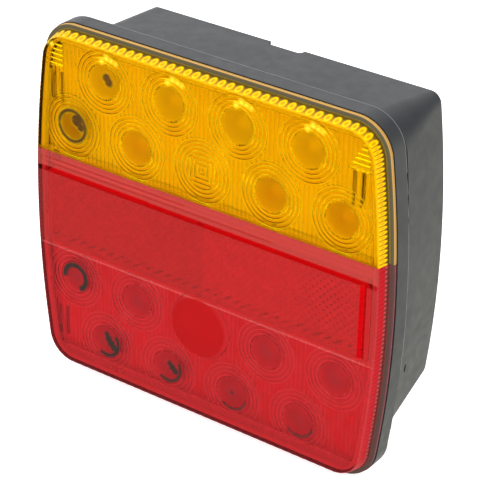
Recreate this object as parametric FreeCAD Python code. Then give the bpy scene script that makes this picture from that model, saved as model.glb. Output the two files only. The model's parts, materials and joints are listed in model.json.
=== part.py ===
import FreeCAD, Part
import math
import os

from FreeCAD import Vector

# Trailer rear combination lamp: amber direction indicator above, red stop and tail lamp with a
# reflex reflector below. Millimetres. +Z is up, the lens faces -Y and the lamp's right side, seen
# from in front of the lens, is +X. The origin is midway between the two mounting studs, on the
# rear face that sits against the trailer.

# --- driving dimensions -------------------------------------------------------------------------

WIDTH = 110.4  # widest, at mid height, across the bowed sides
HEIGHT = 100.0
SIDE_BOW = 4.3  # how far the sides bow out between their ends
CORNER_R = 10.0

Y_REAR = 0.0  # rear mounting face
Y_RIM_BACK = -18.2
Y_RIM_FRONT = -23.8
Y_LIP_BACK = -24.0
Y_LIP_FRONT = -25.0
Y_LENS_FRONT = -28.8

# Front rim and the plate that joins it to the rear box
RIM_WALL = 3.6
RIM_PLATE = 2.0
RIM_EDGE_R = 0.9
GROOVE_OUT = 1.3
GROOVE_IN = 2.7
Y_GROOVE_FLOOR = -22.0
SEAL_THICK = 0.6

# Rear box: its left wall stands well inside the rim, its floor slopes up towards the rear.
# Each pair is the size where the box leaves the rim, then the size at the rear face.
BOX_WALL = 2.2
BOX_TOP = 48.65
BOX_BOW_Z = 6.3  # height at which the bowed right wall stands furthest out
BOX_LEFT = (-40.1, -37.5)
BOX_SIDE_INSET = (0.9, 2.2)
BOX_FLOOR = (-41.4, -32.0)
BOX_TOP_LEFT_R = (4.2, 3.0)
BOX_TOP_RIGHT_R = (9.5, 3.0)
BOX_LOW_R = (6.6, 5.4)
BOX_REAR_EDGE_R = 0.5
RECESS_DEPTH = 3.0
BACK_WALL = 2.0
NOTCH_LEFT = 0.4
NOTCH_RIGHT = 10.8
NOTCH_DEPTH = 2.1
NOTCH_R = 1.4
SLIT_Y = -13.9
SLIT_LOW = -21.8
SLIT_HIGH = -19.6
SLIT_WIDTH = 0.7
SLIT_DEPTH = 0.6

# Lenses: one tray, moulded amber above the parting line and red below it
LIP_INSET = 0.2
LENS_BASE_INSET = 1.4
LENS_FRONT_INSET = 2.4
LENS_WALL = 1.8
LENS_EDGE_R = 0.7
TONGUE_OUT = 1.5
TONGUE_IN = 2.5
PARTING_Z = 14.3
WINDOW_R = 4.6
WINDOW_HEIGHT = 0.5
RING_PITCH = 1.15
RING_COUNT = 4
RING_WIDTH = 0.5

# Lamp positions, in two staggered rows for each colour
LED_PITCH = 20.6
AMBER_ROW_HIGH = 38.3
AMBER_ROW_LOW = 23.1
RED_ROW_HIGH = -21.3
RED_ROW_LOW = -37.5
LED_SIZE = 3.5
LED_HEIGHT = 1.9
LED_DOME_R = 1.45
LED_DOME_RISE = 0.5

# Reflex reflector between the two lit zones
REFLEX_TOP = 8.9
REFLEX_BOTTOM = -13.4
REFLEX_SIDE = 50.5
REFLEX_GAP = 0.5
REFLEX_CORNER_R = 2.5
REFLEX_FRONT_GAP = 0.1
REFLEX_THICK = 2.0
REFLEX_BACKING_GAP = 0.3
REFLEX_BACKING_THICK = 1.0

# White bezels that carry a conical cup for each LED
BEZEL_FRONT = -25.4
BEZEL_THICK = 1.2
BEZEL_SIDE_INSET = 4.0
BEZEL_GAP = 0.15
CUP_FLOOR_R = 3.0
CUP_WALL = 0.8
CUP_PCB_GAP = 0.2
SLOT_WIDTH = 0.9
SLOT_LENGTH = 9.0
SLOT_PITCH = 2.4
SLOT_LEFT = -48.5
SLOT_RIGHT = 42.9
SLOT_AMBER_Z = 27.5
SLOT_RED_Z = -41.5
DIVIDER_THICK = 1.5
DIVIDER_INSET = 4.6

# Circuit board, seated on the rim's plate
PCB_THICK = 1.6
PCB_INSET = 4.6
SCREW_HEAD_R = 2.4
SCREW_HEAD_H = 1.5
SCREW_SLOT_WIDTH = 0.6
SCREW_SLOT_DEPTH = 0.5
SCREW_SHANK_R = 1.25
SCREW_LENGTH = 8.0
SCREW_HOLE_R = 1.6
PILOT_R = 1.3
POST_R = 3.0

# Components on the rear of the circuit board
CHIP_CHAMFER = 0.15  # as a share of the component's depth
RESISTOR_SIZE = (6.3, 3.2, 0.7)
RESISTOR_COLUMNS = (-28.0, -18.0)
RESISTOR_ROWS = (12.0, 4.0, -4.0)
DIODE_SIZE = (4.4, 2.7, 2.3)
DIODE_X = 20.0
DIODE_ROWS = (14.0, 8.0, 2.0)
DRIVER_SPOT = (36.0, 8.0)
DRIVER_SIZE = (6.6, 9.5, 2.3)
CAPACITOR_SPOT = (36.0, 24.0)
CAPACITOR_R = 4.0
CAPACITOR_H = 9.0
CAPACITOR_EDGE_R = 0.7
TERMINAL_PITCH = 4.0
TERMINAL_COUNT = 4
TERMINAL_X = 3.0
TERMINAL_Z = 12.0
TERMINAL_HALF_H = 4.0
TERMINAL_END = 1.0
TERMINAL_DEPTH = 8.0
TERMINAL_WAY_R = 1.1
TERMINAL_PIN_R = 0.5
TERMINAL_PIN_LENGTH = 5.0

# Mounting studs and their seals
STUD_PITCH = 45.0
STUD_R = 2.5  # M5
STUD_ROOT_R = 3.0  # the plain collar inside the housing
STUD_PROJECTION = 20.0
STUD_CHAMFER = 0.7
STUD_HEAD_AF = 8.0
STUD_HEAD_H = 3.5
STUD_HEAD_COVER = 3.0  # plastic between the head and the rear face
STUD_BOSS_R = 7.5
STUD_BOSS_DEPTH = 9.0
STUD_SEAL_R = 4.6
STUD_SEAL_THICK = 1.5

# Cable inlet grommet and breather
INLET_X = 3.0
INLET_Z = 32.0
INLET_BORE_R = 2.5
INLET_NECK_R = 4.5
INLET_FLANGE_R = 6.5
INLET_FLANGE_IN = 1.2
INLET_FLANGE_OUT = 2.2
VENT_X = -26.0
VENT_Z = 30.0
VENT_R = 3.0
VENT_CAP_R = 4.5
VENT_CAP_H = 1.4

# --- derived positions --------------------------------------------------------------------------

BOW_RADIUS = ((HEIGHT / 2) ** 2 + SIDE_BOW**2) / (2 * SIDE_BOW)
BOW_CENTRE = WIDTH / 2 - BOW_RADIUS
Y_PLATE_FRONT = Y_RIM_BACK - RIM_PLATE
Y_RECESS = Y_REAR - RECESS_DEPTH
Y_BACK_INSIDE = Y_RECESS - BACK_WALL
Y_LENS_INSIDE = Y_LENS_FRONT + LENS_WALL
Y_PCB_BACK = Y_PLATE_FRONT
Y_PCB_FRONT = Y_PCB_BACK - PCB_THICK
EVEN_STEPS = (-1.5, -0.5, 0.5, 1.5)
ODD_STEPS = (-2, -1, 1, 2)  # the middle place carries no LED
AMBER_SPOTS = [(k * LED_PITCH, AMBER_ROW_HIGH) for k in EVEN_STEPS]
AMBER_SPOTS += [(k * LED_PITCH, AMBER_ROW_LOW) for k in ODD_STEPS]
RED_SPOTS = [(k * LED_PITCH, RED_ROW_HIGH) for k in ODD_STEPS]
RED_SPOTS += [(k * LED_PITCH, RED_ROW_LOW) for k in EVEN_STEPS]
AMBER_BLANK = (0.0, AMBER_ROW_LOW)
RED_BLANK = (0.0, RED_ROW_HIGH)
RESISTORS = [(x, z) for z in RESISTOR_ROWS for x in RESISTOR_COLUMNS]
DIODES = [(DIODE_X, z) for z in DIODE_ROWS]
PCB_SCREWS = [
    (-LED_PITCH, AMBER_ROW_HIGH),
    (LED_PITCH, AMBER_ROW_HIGH),
    (-LED_PITCH / 2, RED_ROW_HIGH),
    (LED_PITCH / 2, RED_ROW_HIGH),
]


# --- shape helpers ------------------------------------------------------------------------------


def arc(start, middle, end):
    return Part.Arc(start, middle, end).toShape()


def line(start, end):
    return Part.LineSegment(start, end).toShape()


def cylinder(x, z, radius, y_from, y_to):
    """A round bar along Y."""
    return Part.makeCylinder(radius, y_to - y_from, Vector(x, y_from, z), Vector(0, 1, 0))


def cone(x, z, r_from, r_to, y_from, y_to):
    return Part.makeCone(r_from, r_to, y_to - y_from, Vector(x, y_from, z), Vector(0, 1, 0))


def block(x_from, x_to, y_from, y_to, z_from, z_to):
    size = (x_to - x_from, y_to - y_from, z_to - z_from)
    return Part.makeBox(*size, Vector(x_from, y_from, z_from))


def edges_along_y(shape):
    """The edges that run front to back."""
    picked = []
    for edge in shape.Edges:
        ends = [vertex.Point for vertex in edge.Vertexes]
        if len(ends) == 2 and (ends[0] - ends[1]).cross(Vector(0, 1, 0)).Length < 1e-6:
            picked.append(edge)
    return picked


def edges_at_y(shape, y):
    """The edges that lie wholly in the plane at y."""
    picked = []
    for edge in shape.Edges:
        box = edge.BoundBox
        if max(abs(box.YMin - y), abs(box.YMax - y)) < 1e-6:
            picked.append(edge)
    return picked


def bowed_corner(bow_radius, top, radius):
    """The centre of a corner arc and the angle where it meets the bowed side, at the upper right."""
    reach = bow_radius - radius
    drop = top - radius
    centre_x = BOW_CENTRE + math.sqrt(reach**2 - drop**2)
    return centre_x, drop, math.asin(drop / reach)


def lamp_wire(inset, y):
    """The lamp's outline, moved in by inset: level top and bottom, bowed sides, round corners."""
    bow = BOW_RADIUS - inset
    top = HEIGHT / 2 - inset
    radius = CORNER_R - inset
    cx, cz, meet = bowed_corner(bow, top, radius)
    halfway = (meet + math.pi / 2) / 2
    mid = Vector(cx + radius * math.cos(halfway), y, cz + radius * math.sin(halfway))
    join = Vector(BOW_CENTRE + bow * math.cos(meet), y, bow * math.sin(meet))
    side = Vector(BOW_CENTRE + bow, y, 0)
    head = Vector(cx, y, top)

    def at(point, sx, sz):
        return Vector(sx * point.x, y, sz * point.z)

    edges = [line(at(head, -1, 1), head), arc(head, mid, join), arc(join, side, at(join, 1, -1))]
    edges.append(arc(at(join, 1, -1), at(mid, 1, -1), at(head, 1, -1)))
    edges.append(line(at(head, 1, -1), at(head, -1, -1)))
    edges.append(arc(at(head, -1, -1), at(mid, -1, -1), at(join, -1, -1)))
    edges.append(arc(at(join, -1, -1), at(side, -1, 1), at(join, -1, 1)))
    edges.append(arc(at(join, -1, 1), at(mid, -1, 1), at(head, -1, 1)))
    return Part.Wire(edges)


def lamp_block(inset, y_from, y_to):
    return Part.Face(lamp_wire(inset, y_from)).extrude(Vector(0, y_to - y_from, 0))


def lamp_loft(inset_from, y_from, inset_to, y_to):
    """A tapered block between two sizes of the lamp's outline."""
    return Part.makeLoft([lamp_wire(inset_from, y_from), lamp_wire(inset_to, y_to)], True, True)


def lamp_ring(inset_out, inset_in, y_from, y_to):
    return lamp_block(inset_out, y_from, y_to).cut(lamp_block(inset_in, y_from, y_to))


def between(pair, y):
    """A size of the rear box at y, from its sizes at the rim and at the rear face."""
    share = (y - Y_RIM_BACK) / (Y_REAR - Y_RIM_BACK)
    return pair[0] + share * (pair[1] - pair[0])


def box_right_corner(bow, centre_x, top, radius):
    """A corner arc against the bowed right wall, measured up from the wall's widest height.

    Gives the arc's centre, its middle point and the point where it meets the wall.
    """
    drop = top - radius
    reach = bow - radius
    cx = centre_x + math.sqrt(reach**2 - drop**2)
    meet = math.asin(drop / reach)
    half = (meet + math.pi / 2) / 2
    middle = (cx + radius * math.cos(half), drop + radius * math.sin(half))
    join = (centre_x + bow * math.cos(meet), bow * math.sin(meet))
    return (cx, drop), middle, join


def box_wire(inset, y):
    """The rear box's section at y: straight left wall, bowed right wall, floor that rises with y."""
    side = between(BOX_SIDE_INSET, y) + inset
    bow = BOW_RADIUS - side
    top = BOX_TOP - inset
    floor = between(BOX_FLOOR, y) + inset
    left = between(BOX_LEFT, y) + inset
    high_r = between(BOX_TOP_LEFT_R, y) - inset
    low_r = between(BOX_LOW_R, y) - inset
    right_r = between(BOX_TOP_RIGHT_R, y) - inset
    upper = box_right_corner(bow, BOW_CENTRE, top - BOX_BOW_Z, right_r)
    lower = box_right_corner(bow, BOW_CENTRE, BOX_BOW_Z - floor, low_r)

    def up(point):
        return Vector(point[0], y, BOX_BOW_Z + point[1])

    def down(point):
        return Vector(point[0], y, BOX_BOW_Z - point[1])

    top_right = Vector(upper[0][0], y, top)
    low_right = Vector(lower[0][0], y, floor)
    low_left = Vector(left + low_r, y, floor)
    low_side = Vector(left, y, floor + low_r)
    high_side = Vector(left, y, top - high_r)
    top_left = Vector(left + high_r, y, top)
    cut = 1 - math.sqrt(0.5)
    low_mid = Vector(left + cut * low_r, y, floor + cut * low_r)
    high_mid = Vector(left + cut * high_r, y, top - cut * high_r)
    return Part.Wire([
        line(top_left, top_right),
        arc(top_right, up(upper[1]), up(upper[2])),
        arc(up(upper[2]), Vector(BOW_CENTRE + bow, y, BOX_BOW_Z), down(lower[2])),
        arc(down(lower[2]), down(lower[1]), low_right),
        line(low_right, low_left),
        arc(low_left, low_mid, low_side),
        line(low_side, high_side),
        arc(high_side, high_mid, top_left),
    ])


def box_loft(inset, y_from, y_to):
    return Part.makeLoft([box_wire(inset, y_from), box_wire(inset, y_to)], True, True)


def rounded_plate(x_from, x_to, z_from, z_to, radius, y_from, y_to):
    plate = block(x_from, x_to, y_from, y_to, z_from, z_to)
    return plate.makeFillet(radius, edges_along_y(plate))


def hexagon(x, z, across_flats, y_from, y_to):
    corner = across_flats / math.sqrt(3)
    points = []
    for k in range(7):
        angle = math.radians(60 * k + 30)
        points.append(Vector(x + corner * math.cos(angle), y_from, z + corner * math.sin(angle)))
    return Part.Face(Part.makePolygon(points)).extrude(Vector(0, y_to - y_from, 0))


def save(name, shape):
    shape.exportStep("parts/" + name + ".step")


# --- housing ------------------------------------------------------------------------------------


def housing_rim():
    rim = lamp_block(0.0, Y_RIM_FRONT, Y_RIM_BACK)
    rim = rim.makeFillet(RIM_EDGE_R, edges_at_y(rim, Y_RIM_BACK))
    rim = rim.cut(lamp_block(RIM_WALL, Y_RIM_FRONT, Y_PLATE_FRONT))
    return rim.cut(lamp_ring(GROOVE_OUT, GROOVE_IN, Y_RIM_FRONT, Y_GROOVE_FLOOR))


def stud_spots():
    return [(-STUD_PITCH / 2, 0.0), (STUD_PITCH / 2, 0.0)]


def housing_posts():
    """Posts for the board's screws, standing on the inside of the back wall."""
    posts = [cylinder(x, z, POST_R, Y_PCB_BACK, Y_BACK_INSIDE) for x, z in PCB_SCREWS]
    return posts


def top_notch():
    """A shallow bite out of the top wall's rear edge."""
    y_floor = Y_REAR - NOTCH_DEPTH
    notch = block(NOTCH_LEFT, NOTCH_RIGHT, y_floor, Y_REAR, BOX_TOP - 2 * BOX_WALL, BOX_TOP)
    upright = [edge for edge in edges_at_y(notch, y_floor) if edge.BoundBox.XLength < 1e-6]
    return notch.makeFillet(NOTCH_R, upright)


def side_slit():
    """A short moulding slit in the right wall, a little behind the rim."""
    wall_x = BOW_CENTRE + BOW_RADIUS - between(BOX_SIDE_INSET, SLIT_Y)
    wall_x -= (SLIT_LOW - BOX_BOW_Z) ** 2 / (2 * BOW_RADIUS)
    y_to = SLIT_Y + SLIT_WIDTH
    return block(wall_x - SLIT_DEPTH, wall_x + 2 * SLIT_DEPTH, SLIT_Y, y_to, SLIT_LOW, SLIT_HIGH)


def housing():
    box = box_loft(0.0, Y_RIM_BACK, Y_REAR)
    box = box.makeFillet(BOX_REAR_EDGE_R, edges_at_y(box, Y_REAR))
    shell = housing_rim().fuse(box)
    shell = shell.cut(box_loft(BOX_WALL, Y_PLATE_FRONT, Y_BACK_INSIDE))
    shell = shell.cut(box_loft(BOX_WALL, Y_RECESS, Y_REAR))
    bosses = [cylinder(x, z, STUD_BOSS_R, Y_REAR - STUD_BOSS_DEPTH, Y_REAR) for x, z in stud_spots()]
    shell = shell.fuse(bosses + housing_posts())
    cuts = [top_notch(), side_slit(), vent_hole()]
    cuts.append(cylinder(INLET_X, INLET_Z, INLET_NECK_R, Y_BACK_INSIDE, Y_RECESS))
    cuts += [cylinder(x, z, PILOT_R, Y_PCB_BACK, Y_BACK_INSIDE - POST_R) for x, z in PCB_SCREWS]
    for x, z in stud_spots():
        cuts.append(stud(x, z))
        cuts.append(cylinder(x, z, STUD_SEAL_R, Y_REAR - STUD_SEAL_THICK, Y_REAR))
    return shell.cut(cuts).removeSplitter()


# --- lenses and their seal ----------------------------------------------------------------------


def lens_tray():
    outer = lamp_loft(LENS_BASE_INSET, Y_LIP_FRONT, LENS_FRONT_INSET, Y_LENS_FRONT)
    outer = outer.makeFillet(LENS_EDGE_R, edges_at_y(outer, Y_LENS_FRONT))
    tray = outer.fuse(lamp_block(LIP_INSET, Y_LIP_FRONT, Y_LIP_BACK))
    base = LENS_BASE_INSET + LENS_WALL
    tray = tray.cut(lamp_loft(base, Y_LIP_BACK, base + LENS_WALL / 2, Y_LENS_INSIDE))
    return tray.fuse(lamp_ring(TONGUE_OUT, TONGUE_IN, Y_LIP_BACK, Y_GROOVE_FLOOR - SEAL_THICK))


def ring_relief(x, z):
    """One window's raised disc and the concentric ribs round it, on the lens's inner face."""
    y_to = Y_LENS_INSIDE + WINDOW_HEIGHT
    relief = [cylinder(x, z, WINDOW_R, Y_LENS_INSIDE, y_to)]
    for k in range(1, RING_COUNT + 1):
        radius = WINDOW_R + k * RING_PITCH
        rib = cylinder(x, z, radius, Y_LENS_INSIDE, y_to)
        relief.append(rib.cut(cylinder(x, z, radius - RING_WIDTH, Y_LENS_INSIDE, y_to)))
    return relief


def lens(spots, z_from, z_to, relief_from, relief_to):
    """One colour of the lens tray, with its windows' relief between two heights."""
    zone = block(-WIDTH, WIDTH, 2 * Y_LENS_FRONT, 0, z_from, z_to)
    relief_zone = block(-WIDTH, WIDTH, 2 * Y_LENS_FRONT, 0, relief_from, relief_to)
    inner = lamp_block(LENS_BASE_INSET + 2 * LENS_WALL, Y_LENS_INSIDE, Y_LIP_FRONT)
    inner = inner.common(relief_zone)
    relief = []
    for x, z in spots:
        relief += [piece.common(inner) for piece in ring_relief(x, z)]
    return lens_tray().common(zone).fuse(relief).removeSplitter()


def lens_seal():
    return lamp_ring(GROOVE_OUT, GROOVE_IN, Y_GROOVE_FLOOR - SEAL_THICK, Y_GROOVE_FLOOR)


# --- reflex reflector ---------------------------------------------------------------------------


def reflex_panel(side):
    y_from = Y_LENS_INSIDE + REFLEX_FRONT_GAP
    ends = sorted((side * REFLEX_GAP, side * REFLEX_SIDE))
    z_ends = (REFLEX_BOTTOM, REFLEX_TOP)
    return rounded_plate(*ends, *z_ends, REFLEX_CORNER_R, y_from, y_from + REFLEX_THICK)


def reflex_backing():
    y_from = Y_LENS_INSIDE + REFLEX_FRONT_GAP + REFLEX_THICK + REFLEX_BACKING_GAP
    ends = (-REFLEX_SIDE, REFLEX_SIDE, REFLEX_BOTTOM, REFLEX_TOP)
    return rounded_plate(*ends, REFLEX_CORNER_R, y_from, y_from + REFLEX_BACKING_THICK)


# --- bezels and divider -------------------------------------------------------------------------


def cup(x, z):
    y_floor = Y_PCB_FRONT - CUP_PCB_GAP
    return cone(x, z, WINDOW_R + CUP_WALL, CUP_FLOOR_R + CUP_WALL, BEZEL_FRONT, y_floor)


def cup_hollow(x, z):
    y_floor = Y_PCB_FRONT - CUP_PCB_GAP
    return cone(x, z, WINDOW_R, CUP_FLOOR_R, BEZEL_FRONT, y_floor)


def slot_pair(x_from, z_from):
    """Two upright clearance slots, side by side, near an end of a bezel."""
    y_to = BEZEL_FRONT + BEZEL_THICK
    slots = []
    for x in (x_from, x_from + SLOT_PITCH):
        slots.append(block(x, x + SLOT_WIDTH, BEZEL_FRONT, y_to, z_from, z_from + SLOT_LENGTH))
    return slots


def bezel(spots, z_from, z_to, slots):
    y_to = BEZEL_FRONT + BEZEL_THICK
    zone = block(-WIDTH, WIDTH, BEZEL_FRONT, y_to, z_from, z_to)
    plate = lamp_block(BEZEL_SIDE_INSET, BEZEL_FRONT, y_to).common(zone)
    plate = plate.fuse([cup(x, z) for x, z in spots])
    return plate.cut([cup_hollow(x, z) for x, z in spots] + slots).removeSplitter()


def light_divider():
    """A wall that keeps each colour's light in its own chamber, with a shelf down to the reflector."""
    z_from = PARTING_Z - DIVIDER_THICK / 2
    zone = block(-WIDTH, WIDTH, Y_LENS_INSIDE, Y_PCB_FRONT, z_from, z_from + DIVIDER_THICK)
    wall = lamp_block(DIVIDER_INSET, Y_LENS_INSIDE + CUP_PCB_GAP, Y_PCB_FRONT).common(zone)
    y_to = BEZEL_FRONT + BEZEL_THICK
    shelf_zone = block(-WIDTH, WIDTH, BEZEL_FRONT, y_to, REFLEX_TOP + BEZEL_GAP, z_from)
    shelf = lamp_block(DIVIDER_INSET, BEZEL_FRONT, y_to).common(shelf_zone)
    return wall.fuse(shelf).removeSplitter()


# --- circuit board and what it carries ----------------------------------------------------------


def pcb():
    board = lamp_block(PCB_INSET, Y_PCB_FRONT, Y_PCB_BACK)
    return board.cut([cylinder(x, z, SCREW_HOLE_R, Y_PCB_FRONT, Y_PCB_BACK) for x, z in PCB_SCREWS])


def led(x, z):
    """A surface-mount LED: square body, round crown."""
    half = LED_SIZE / 2
    y_top = Y_PCB_FRONT - LED_HEIGHT
    body = block(x - half, x + half, y_top, Y_PCB_FRONT, z - half, z + half)
    crown = cone(x, z, LED_DOME_R - LED_DOME_RISE, LED_DOME_R, y_top - LED_DOME_RISE, y_top)
    return body.fuse(crown)


def pcb_screw(x, z):
    head = cylinder(x, z, SCREW_HEAD_R, Y_PCB_FRONT - SCREW_HEAD_H, Y_PCB_FRONT)
    head = head.makeFillet(SCREW_HEAD_H / 2, edges_at_y(head, Y_PCB_FRONT - SCREW_HEAD_H))
    shank = cylinder(x, z, SCREW_SHANK_R, Y_PCB_FRONT, Y_PCB_FRONT + SCREW_LENGTH)
    y_top = Y_PCB_FRONT - SCREW_HEAD_H
    half = SCREW_SLOT_WIDTH / 2
    slot = block(x - SCREW_SHANK_R, x + SCREW_SHANK_R, y_top, y_top + SCREW_SLOT_DEPTH, z - half, z + half)
    return head.fuse(shank).cut(slot)


def chip(x, z, width, height, depth):
    """A rectangular component on the rear of the board."""
    half_w = width / 2
    half_h = height / 2
    body = block(x - half_w, x + half_w, Y_PCB_BACK, Y_PCB_BACK + depth, z - half_h, z + half_h)
    return body.makeChamfer(CHIP_CHAMFER * depth, edges_at_y(body, Y_PCB_BACK + depth))


def capacitor(x, z, radius, height):
    can = cylinder(x, z, radius, Y_PCB_BACK, Y_PCB_BACK + height)
    return can.makeFillet(CAPACITOR_EDGE_R, edges_at_y(can, Y_PCB_BACK + height))


def terminal_ways():
    first = TERMINAL_X - TERMINAL_PITCH * (TERMINAL_COUNT - 1) / 2
    return [first + k * TERMINAL_PITCH for k in range(TERMINAL_COUNT)]


def terminal_block():
    half = TERMINAL_PITCH * TERMINAL_COUNT / 2 + TERMINAL_END
    y_ends = (Y_PCB_BACK, Y_PCB_BACK + TERMINAL_DEPTH)
    z_ends = (TERMINAL_Z - TERMINAL_HALF_H, TERMINAL_Z + TERMINAL_HALF_H)
    body = block(TERMINAL_X - half, TERMINAL_X + half, *y_ends, *z_ends)
    return body.cut([cylinder(x, TERMINAL_Z, TERMINAL_WAY_R, *y_ends) for x in terminal_ways()])


def terminal_pins():
    y_to = Y_PCB_BACK + TERMINAL_PIN_LENGTH
    pins = [cylinder(x, TERMINAL_Z, TERMINAL_PIN_R, Y_PCB_BACK, y_to) for x in terminal_ways()]
    return Part.makeCompound(pins)


# --- rear fixings -------------------------------------------------------------------------------


def stud(x, z):
    """A headed mounting stud, its hexagon captive in the housing's boss."""
    y_head = Y_REAR - STUD_HEAD_COVER - STUD_HEAD_H
    head = hexagon(x, z, STUD_HEAD_AF, y_head, y_head + STUD_HEAD_H)
    root = cylinder(x, z, STUD_ROOT_R, y_head + STUD_HEAD_H, Y_REAR)
    shank = cylinder(x, z, STUD_R, Y_REAR, STUD_PROJECTION)
    shank = shank.makeChamfer(STUD_CHAMFER, edges_at_y(shank, STUD_PROJECTION))
    return head.fuse([root, shank]).removeSplitter()


def stud_seal(x, z):
    ring = cylinder(x, z, STUD_SEAL_R, Y_REAR - STUD_SEAL_THICK, Y_REAR)
    return ring.cut(cylinder(x, z, STUD_ROOT_R, Y_REAR - STUD_SEAL_THICK, Y_REAR))


def cable_grommet():
    neck = cylinder(INLET_X, INLET_Z, INLET_NECK_R, Y_BACK_INSIDE, Y_RECESS)
    inner = cylinder(INLET_X, INLET_Z, INLET_FLANGE_R, Y_BACK_INSIDE - INLET_FLANGE_IN, Y_BACK_INSIDE)
    outer = cone(INLET_X, INLET_Z, INLET_FLANGE_R, INLET_NECK_R, Y_RECESS, Y_RECESS + INLET_FLANGE_OUT)
    y_ends = (Y_BACK_INSIDE - INLET_FLANGE_IN, Y_RECESS + INLET_FLANGE_OUT)
    return neck.fuse([inner, outer]).cut(cylinder(INLET_X, INLET_Z, INLET_BORE_R, *y_ends)).removeSplitter()


def vent_hole():
    return cylinder(VENT_X, VENT_Z, VENT_R, Y_BACK_INSIDE, Y_RECESS)


def breather_vent():
    cap = cylinder(VENT_X, VENT_Z, VENT_CAP_R, Y_RECESS, Y_RECESS + VENT_CAP_H)
    cap = cap.makeFillet(VENT_CAP_H / 2, edges_at_y(cap, Y_RECESS + VENT_CAP_H))
    return vent_hole().fuse(cap).removeSplitter()


# --- build --------------------------------------------------------------------------------------

os.makedirs("parts", exist_ok=True)

save("housing", housing())
divider_top = PARTING_Z + DIVIDER_THICK / 2
save("lens_amber", lens(AMBER_SPOTS + [AMBER_BLANK], PARTING_Z, HEIGHT, divider_top, HEIGHT))
save("lens_red", lens(RED_SPOTS + [RED_BLANK], -HEIGHT, PARTING_Z, -HEIGHT, REFLEX_BOTTOM))
save("lens_seal", lens_seal())
save("reflex_reflector_left", reflex_panel(-1))
save("reflex_reflector_right", reflex_panel(1))
save("reflex_backing", reflex_backing())

amber_slots = slot_pair(SLOT_LEFT, SLOT_AMBER_Z) + slot_pair(SLOT_RIGHT, SLOT_AMBER_Z)
red_slots = slot_pair(SLOT_LEFT, SLOT_RED_Z)
save("bezel_amber", bezel(AMBER_SPOTS, divider_top + BEZEL_GAP, HEIGHT, amber_slots))
save("bezel_red", bezel(RED_SPOTS, -HEIGHT, REFLEX_BOTTOM - BEZEL_GAP, red_slots))
save("light_divider", light_divider())

save("circuit_board", pcb())
for number, spot in enumerate(AMBER_SPOTS, 1):
    save("led_amber_%d" % number, led(*spot))
for number, spot in enumerate(RED_SPOTS, 1):
    save("led_red_%d" % number, led(*spot))
for number, spot in enumerate(RESISTORS, 1):
    save("resistor_%d" % number, chip(*spot, *RESISTOR_SIZE))
for number, spot in enumerate(DIODES, 1):
    save("diode_%d" % number, chip(*spot, *DIODE_SIZE))
save("led_driver", chip(*DRIVER_SPOT, *DRIVER_SIZE))
save("capacitor", capacitor(*CAPACITOR_SPOT, CAPACITOR_R, CAPACITOR_H))
save("terminal_block", terminal_block())
save("terminal_pins", terminal_pins())
save("board_screws", Part.makeCompound([pcb_screw(x, z) for x, z in PCB_SCREWS]))

for name, spot in zip(("left", "right"), stud_spots()):
    save("mounting_stud_" + name, stud(*spot))
    save("stud_seal_" + name, stud_seal(*spot))
save("cable_grommet", cable_grommet())
save("breather_vent", breather_vent())
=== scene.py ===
import json
import math

import bmesh
import bpy
import numpy as np
from mathutils import Matrix, Vector


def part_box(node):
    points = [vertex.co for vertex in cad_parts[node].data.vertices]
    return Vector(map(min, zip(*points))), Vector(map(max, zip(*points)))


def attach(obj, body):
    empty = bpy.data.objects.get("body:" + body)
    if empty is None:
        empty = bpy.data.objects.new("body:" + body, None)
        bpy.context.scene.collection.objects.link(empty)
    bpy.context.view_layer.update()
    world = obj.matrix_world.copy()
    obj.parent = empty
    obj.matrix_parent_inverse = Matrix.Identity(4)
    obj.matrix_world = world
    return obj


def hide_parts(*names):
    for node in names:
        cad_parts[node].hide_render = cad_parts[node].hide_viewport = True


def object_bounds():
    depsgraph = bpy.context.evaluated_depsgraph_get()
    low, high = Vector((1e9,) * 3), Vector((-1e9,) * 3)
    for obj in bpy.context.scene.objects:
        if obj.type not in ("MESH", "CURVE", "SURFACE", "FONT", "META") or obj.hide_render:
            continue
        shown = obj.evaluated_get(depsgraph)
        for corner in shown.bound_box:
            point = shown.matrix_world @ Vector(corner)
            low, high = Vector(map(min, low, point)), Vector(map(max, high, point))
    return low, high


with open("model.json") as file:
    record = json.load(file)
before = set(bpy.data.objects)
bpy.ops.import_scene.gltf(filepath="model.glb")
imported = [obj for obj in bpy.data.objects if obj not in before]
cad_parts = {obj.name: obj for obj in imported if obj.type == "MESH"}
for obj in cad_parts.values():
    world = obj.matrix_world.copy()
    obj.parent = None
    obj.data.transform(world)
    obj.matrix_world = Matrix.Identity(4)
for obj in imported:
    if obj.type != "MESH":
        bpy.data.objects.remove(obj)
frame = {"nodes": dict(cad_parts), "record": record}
nodes = frame["nodes"]
cad_low, cad_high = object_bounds()

MM = 0.001

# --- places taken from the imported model, in millimetres -----------------------------------------


def span(node, axis):
    low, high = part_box(node)
    return low[axis] / MM, high[axis] / MM


def centre(node):
    low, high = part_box(node)
    return (low.x + high.x) / 2 / MM, (low.z + high.z) / 2 / MM


HALF_W = span("housing", 0)[1]
HALF_H = span("housing", 2)[1]
Y_RIM_FRONT = span("housing", 1)[0]
Y_FRONT = span("lens_amber", 1)[0]
PARTING_Z = span("lens_amber", 2)[0]
LIP_INSET = HALF_H - span("lens_amber", 2)[1]
AMBER_SPOTS = [centre("led_amber_%d" % n) for n in range(1, 9)]
RED_SPOTS = [centre("led_red_%d" % n) for n in range(1, 9)]
AMBER_BLANK = (0.0, min(z for x, z in AMBER_SPOTS))
RED_BLANK = (0.0, max(z for x, z in RED_SPOTS))
REFLEX_LOW, REFLEX_HIGH = span("reflex_backing", 2)
REFLEX_SIDE = span("reflex_backing", 0)[1]

# --- sizes of the shapes made here, in millimetres ----------------------------------------------

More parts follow.
